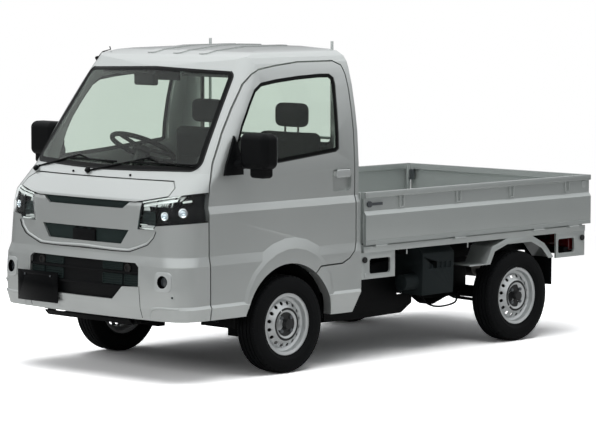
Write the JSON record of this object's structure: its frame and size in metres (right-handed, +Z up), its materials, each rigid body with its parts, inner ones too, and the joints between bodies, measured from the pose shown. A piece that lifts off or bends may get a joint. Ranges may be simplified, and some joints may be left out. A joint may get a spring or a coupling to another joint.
{
  "type": "kei truck",
  "caption": "Small cab-over pickup truck with two-seat steel cab, drop-side load bed, rear guard frame, steel wheels and opening doors, gates and hood.",
  "frame": {"origin": "on the ground under the middle of the truck", "axes": "-Y is forward, +X is the truck's left side, +Z is up"},
  "size_m": [1.89, 3.395, 1.7649],
  "materials": {
    "body_paint": "metallic",
    "bed_paint": "metallic",
    "frame_paint": "satin",
    "black_plastic": "grained",
    "gloss_black": "gloss",
    "glass_green": "tinted",
    "lamp_lens": "clear",
    "lamp_red": "gloss",
    "wheel_paint": "satin",
    "tyre": "matte",
    "cast_iron": "rough",
    "steel": "satin",
    "trim_grey": "grained",
    "seat_cloth": "woven"
  },
  "bodies": {
    "root": {"ladder_frame": "frame_paint", "bed_sills": "frame_paint", "cab_floor": "body_paint", "cab_back": "body_paint", "cab_roof": "body_paint", "cab_front": "body_paint", "cab_sills": "body_paint", "windshield": "glass_green", "rear_window": "glass_green", "front_bumper": "body_paint", "front_mask": "body_paint", "front_grille": "black_plastic", "headlamps": "lamp_lens", "lamp_bowls": "gloss_black", "fog_lamps": "lamp_lens", "number_plate": "gloss_black", "wipers": "black_plastic", "dashboard": "trim_grey", "seats": "seat_cloth", "interior_mirror": "black_plastic", "engine": "cast_iron", "front_suspension": "frame_paint", "rear_axle": "frame_paint", "leaf_springs": "frame_paint", "fuel_tank": "frame_paint", "battery_box": "black_plastic", "exhaust": "steel", "bed_floor": "bed_paint", "guard_frame": "bed_paint", "bed_side_panels": "bed_paint", "mud_flaps": "black_plastic", "tail_lamps": "lamp_red"},
    "knuckle_left": {"knuckle_left": "cast_iron"},
    "knuckle_right": {"knuckle_right": "cast_iron"},
    "steering_wheel": {"steering_wheel": "black_plastic"},
    "hood": {"hood": "body_paint"},
    "side_gate_left": {"side_gate_left": "bed_paint"},
    "side_gate_right": {"side_gate_right": "bed_paint"},
    "tailgate": {"tailgate": "bed_paint"},
    "door_left": {"door_left": "body_paint", "door_glass_left": "glass_green", "mirror_left": "black_plastic"},
    "door_right": {"door_right": "body_paint", "door_glass_right": "glass_green", "mirror_right": "black_plastic"},
    "wheel_front_left": {"rim_front_left": "wheel_paint", "tyre_front_left": "tyre"},
    "wheel_front_right": {"rim_front_right": "wheel_paint", "tyre_front_right": "tyre"},
    "wheel_rear_left": {"rim_rear_left": "wheel_paint", "tyre_rear_left": "tyre"},
    "wheel_rear_right": {"rim_rear_right": "wheel_paint", "tyre_rear_right": "tyre"}
  },
  "joints": [
    {"name": "steer_left", "type": "hinge", "parent": "root", "child": "knuckle_left", "pos_m": [0.54, -0.847, 0.264], "axis": [0, 0, 1], "range_deg": [-33, 33]},
    {"name": "spin_front_left", "type": "hinge", "parent": "knuckle_left", "child": "wheel_front_left", "pos_m": [0.6525, -0.847, 0.264], "axis": [1, 0, 0], "continuous": true},
    {"name": "spin_rear_left", "type": "hinge", "parent": "root", "child": "wheel_rear_left", "pos_m": [0.645, 1.058, 0.264], "axis": [1, 0, 0], "continuous": true},
    {"name": "door_left_swing", "type": "hinge", "parent": "root", "child": "door_left", "pos_m": [0.715, -1.375, 0.37], "axis": [0, 0, -1], "range_deg": [0, 65]},
    {"name": "side_gate_left_drop", "type": "hinge", "parent": "root", "child": "side_gate_left", "pos_m": [0.731, 0.7, 0.64], "axis": [0, 1, 0], "range_deg": [0, 170]},
    {"name": "steer_right", "type": "hinge", "parent": "root", "child": "knuckle_right", "pos_m": [-0.54, -0.847, 0.264], "axis": [0, 0, 1], "range_deg": [-33, 33]},
    {"name": "spin_front_right", "type": "hinge", "parent": "knuckle_right", "child": "wheel_front_right", "pos_m": [-0.6525, -0.847, 0.264], "axis": [1, 0, 0], "continuous": true},
    {"name": "spin_rear_right", "type": "hinge", "parent": "root", "child": "wheel_rear_right", "pos_m": [-0.645, 1.058, 0.264], "axis": [1, 0, 0], "continuous": true},
    {"name": "door_right_swing", "type": "hinge", "parent": "root", "child": "door_right", "pos_m": [-0.715, -1.375, 0.37], "axis": [0, 0, 1], "range_deg": [0, 65]},
    {"name": "side_gate_right_drop", "type": "hinge", "parent": "root", "child": "side_gate_right", "pos_m": [-0.731, 0.7, 0.64], "axis": [0, -1, 0], "range_deg": [0, 170]},
    {"name": "steering_turn", "type": "hinge", "parent": "root", "child": "steering_wheel", "pos_m": [-0.335, -0.9325, 1.172], "axis": [0, 0.454, 0.891], "range_deg": [-560, 560]},
    {"name": "tailgate_drop", "type": "hinge", "parent": "root", "child": "tailgate", "pos_m": [0, 1.691, 0.64], "axis": [-1, 0, 0], "range_deg": [0, 170]},
    {"name": "hood_lift", "type": "hinge", "parent": "root", "child": "hood", "pos_m": [0, -1.5665, 1.047], "axis": [-1, 0, 0], "range_deg": [0, 50]}
  ],
  "couplings": [
    {"joint": "steer_right", "follows": "steer_left", "ratio": 1},
    {"joint": "steering_turn", "follows": "steer_left", "ratio": 16.5}
  ]
}
